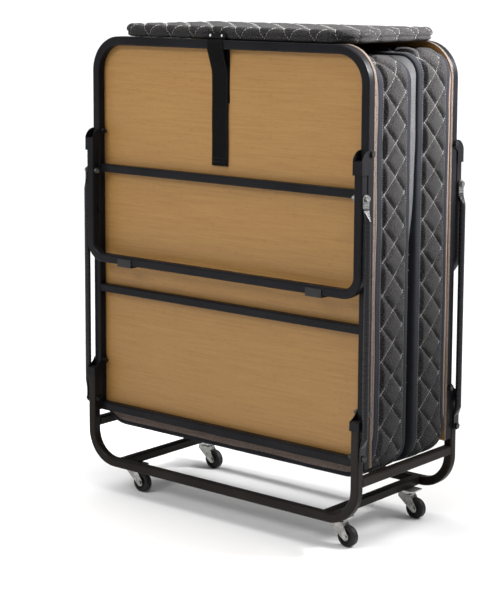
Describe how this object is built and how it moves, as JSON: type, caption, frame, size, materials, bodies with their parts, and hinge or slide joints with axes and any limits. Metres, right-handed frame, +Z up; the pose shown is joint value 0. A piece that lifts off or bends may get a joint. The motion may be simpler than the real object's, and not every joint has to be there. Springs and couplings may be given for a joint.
{
  "type": "folding cot",
  "caption": "Folding rollaway guest bed: two boarded tube frames with a split quilted mattress, parallel-link legs, headboard pad and swivel casters.",
  "frame": {"origin": "on the floor under the middle of the folded cot", "axes": "+Z up, +X to the cot's right, front bed half at -Y, rear bed half with the headboard at +Y"},
  "size_m": [0.9, 0.411, 1.21],
  "materials": {
    "frame_paint": "satin",
    "base_paint": "satin",
    "link_paint": "satin",
    "zinc": "satin",
    "beech_board": "satin",
    "plywood": "matte",
    "quilted_fabric": "matte",
    "webbing": "matte",
    "black_plastic": "matte",
    "wheel_rubber": "matte"
  },
  "bodies": {
    "base": {"front_base_hoop": "base_paint", "rear_base_hoop": "base_paint", "left_upper_side_bar": "base_paint", "right_upper_side_bar": "base_paint", "left_lower_side_bar": "base_paint", "right_lower_side_bar": "base_paint", "base_brackets": "frame_paint", "fold_pivot_bolts": "zinc", "base_link_bolts": "zinc", "base_nuts": "zinc", "caster_mounts": "zinc"},
    "front_panel": {"front_frame_tube": "frame_paint", "front_bottom_rail": "frame_paint", "front_upper_crossbar": "frame_paint", "front_lower_crossbar": "frame_paint", "front_board": "beech_board", "front_board_screws": "zinc", "front_mattress": "quilted_fabric", "strap": "webbing", "strap_backing": "webbing"},
    "front_leg": {"front_leg_hoop": "frame_paint", "front_leg_brackets": "frame_paint", "front_leg_feet": "black_plastic", "front_leg_bolts": "zinc", "front_leg_nuts": "zinc"},
    "front_links": {"front_left_fold_link": "link_paint", "front_right_fold_link": "link_paint"},
    "rear_panel": {"rear_frame_tube": "frame_paint", "rear_bottom_rail": "frame_paint", "rear_upper_crossbar": "frame_paint", "rear_lower_crossbar": "frame_paint", "rear_board": "beech_board", "rear_board_screws": "zinc", "rear_mattress": "quilted_fabric", "headboard_pad": "quilted_fabric", "headboard_core": "plywood", "headboard_brackets": "frame_paint", "headboard_screws": "zinc", "strap_clamp": "frame_paint", "strap_clamp_screws": "zinc"},
    "rear_leg": {"rear_leg_hoop": "frame_paint", "rear_leg_brackets": "frame_paint", "rear_leg_feet": "black_plastic", "rear_leg_bolts": "zinc", "rear_leg_nuts": "zinc"},
    "rear_links": {"rear_left_fold_link": "link_paint", "rear_right_fold_link": "link_paint"},
    "front_left_caster": {"front_left_caster_fork": "zinc", "front_left_caster_axle": "zinc"},
    "front_left_wheel": {"front_left_caster_wheel": "wheel_rubber"},
    "front_right_caster": {"front_right_caster_fork": "zinc", "front_right_caster_axle": "zinc"},
    "front_right_wheel": {"front_right_caster_wheel": "wheel_rubber"},
    "rear_left_caster": {"rear_left_caster_fork": "zinc", "rear_left_caster_axle": "zinc"},
    "rear_left_wheel": {"rear_left_caster_wheel": "wheel_rubber"},
    "rear_right_caster": {"rear_right_caster_fork": "zinc", "rear_right_caster_axle": "zinc"},
    "rear_right_wheel": {"rear_right_caster_wheel": "wheel_rubber"}
  },
  "joints": [
    {"name": "front_fold", "type": "hinge", "parent": "base", "child": "front_panel", "pos_m": [0, -0.169, 0.335], "axis": [1, 0, 0], "range_deg": [0, 90], "deforming": ["front_mattress"]},
    {"name": "front_leg_fold", "type": "hinge", "parent": "front_panel", "child": "front_leg", "pos_m": [0, -0.169, 0.929], "axis": [1, 0, 0], "range_deg": [-90, 0]},
    {"name": "front_link_fold", "type": "hinge", "parent": "base", "child": "front_links", "pos_m": [0, -0.192, 0.236], "axis": [1, 0, 0], "range_deg": [0, 90]},
    {"name": "rear_fold", "type": "hinge", "parent": "base", "child": "rear_panel", "pos_m": [0, 0.169, 0.335], "axis": [-1, 0, 0], "range_deg": [0, 90], "deforming": ["rear_mattress"]},
    {"name": "rear_leg_fold", "type": "hinge", "parent": "rear_panel", "child": "rear_leg", "pos_m": [0, 0.169, 0.929], "axis": [-1, 0, 0], "range_deg": [-90, 0]},
    {"name": "rear_link_fold", "type": "hinge", "parent": "base", "child": "rear_links", "pos_m": [0, 0.192, 0.236], "axis": [-1, 0, 0], "range_deg": [0, 90]},
    {"name": "front_left_swivel", "type": "hinge", "parent": "base", "child": "front_left_caster", "pos_m": [-0.33, -0.14, 0.06], "axis": [0, 0, 1], "continuous": true},
    {"name": "front_left_roll", "type": "hinge", "parent": "front_left_caster", "child": "front_left_wheel", "pos_m": [-0.3, -0.14, 0.025], "axis": [0, 1, 0], "continuous": true},
    {"name": "front_right_swivel", "type": "hinge", "parent": "base", "child": "front_right_caster", "pos_m": [0.33, -0.14, 0.06], "axis": [0, 0, 1], "continuous": true},
    {"name": "front_right_roll", "type": "hinge", "parent": "front_right_caster", "child": "front_right_wheel", "pos_m": [0.36, -0.14, 0.025], "axis": [0, 1, 0], "continuous": true},
    {"name": "rear_left_swivel", "type": "hinge", "parent": "base", "child": "rear_left_caster", "pos_m": [-0.33, 0.14, 0.06], "axis": [0, 0, 1], "continuous": true},
    {"name": "rear_left_roll", "type": "hinge", "parent": "rear_left_caster", "child": "rear_left_wheel", "pos_m": [-0.3, 0.14, 0.025], "axis": [0, 1, 0], "continuous": true},
    {"name": "rear_right_swivel", "type": "hinge", "parent": "base", "child": "rear_right_caster", "pos_m": [0.33, 0.14, 0.06], "axis": [0, 0, 1], "continuous": true},
    {"name": "rear_right_roll", "type": "hinge", "parent": "rear_right_caster", "child": "rear_right_wheel", "pos_m": [0.36, 0.14, 0.025], "axis": [0, 1, 0], "continuous": true}
  ],
  "couplings": [
    {"joint": "front_leg_fold", "follows": "front_fold", "ratio": -1},
    {"joint": "front_link_fold", "follows": "front_fold", "ratio": 1},
    {"joint": "rear_leg_fold", "follows": "rear_fold", "ratio": -1},
    {"joint": "rear_link_fold", "follows": "rear_fold", "ratio": 1}
  ]
}
